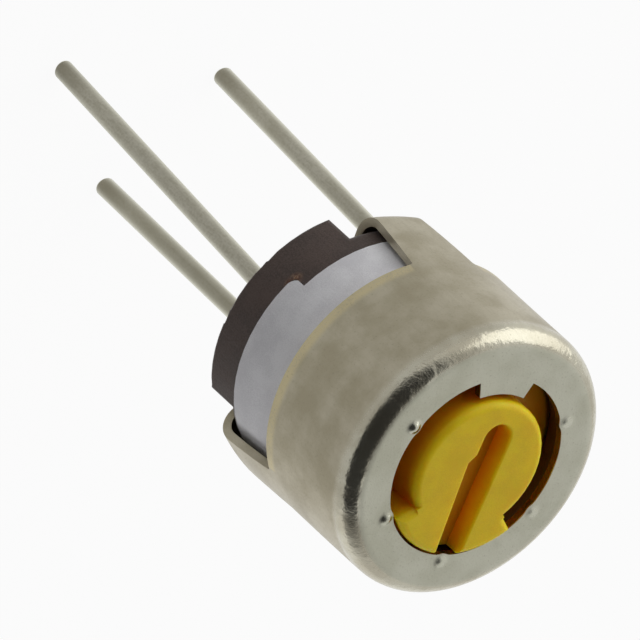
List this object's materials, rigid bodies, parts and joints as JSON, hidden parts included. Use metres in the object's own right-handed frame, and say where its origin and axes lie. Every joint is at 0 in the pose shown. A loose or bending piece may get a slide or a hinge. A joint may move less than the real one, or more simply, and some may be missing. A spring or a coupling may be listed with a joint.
{
  "type": "trimmer potentiometer",
  "caption": "Single-turn trimmer potentiometer: a round metal can folded over a dark base, a ceramic band, a yellow rotor with a driver slot, and long wire leads.",
  "frame": {"origin": "centre of the base's underside, on the rotor's axis, in the plane that meets the circuit board", "axes": "+Z along the rotor's axis away from the board; +Y towards the can's stop tongue; the leads point to -Z, with the end leads on the +Y side and the wiper lead on the -Y side"},
  "size_m": [0.0068, 0.0068, 0.0148],
  "materials": {
    "can_metal": "drawn sheet, dull nickel finish",
    "rotor_plastic": "moulded, satin",
    "seal_rubber": "moulded silicone",
    "contact_metal": "bright spring sheet",
    "white_ceramic": "pressed and fired, unglazed",
    "cermet_film": "printed and fired film",
    "silver_film": "printed and fired film",
    "base_resin": "moulded thermoset, matt",
    "lead_tin": "copper alloy wire with a dull tin coat",
    "solder": "reflowed solder"
  },
  "bodies": {
    "housing": {"metal_cap": "can_metal", "ceramic_substrate": "white_ceramic", "resistive_track": "cermet_film", "end_electrode_1": "silver_film", "end_electrode_3": "silver_film", "collector": "silver_film", "base": "base_resin", "lead_1": "lead_tin", "lead_2": "lead_tin", "lead_3": "lead_tin", "solder_joint_1": "solder", "solder_joint_2": "solder", "solder_joint_3": "solder"},
    "adjuster": {"rotor": "rotor_plastic", "seal_ring": "seal_rubber", "contact_spring": "contact_metal"}
  },
  "joints": [
    {"name": "rotor_turn", "type": "hinge", "parent": "housing", "child": "adjuster", "pos_m": [0, 0, 0.0059], "axis": [0, 0, 1], "range_deg": [-106, 115]}
  ]
}
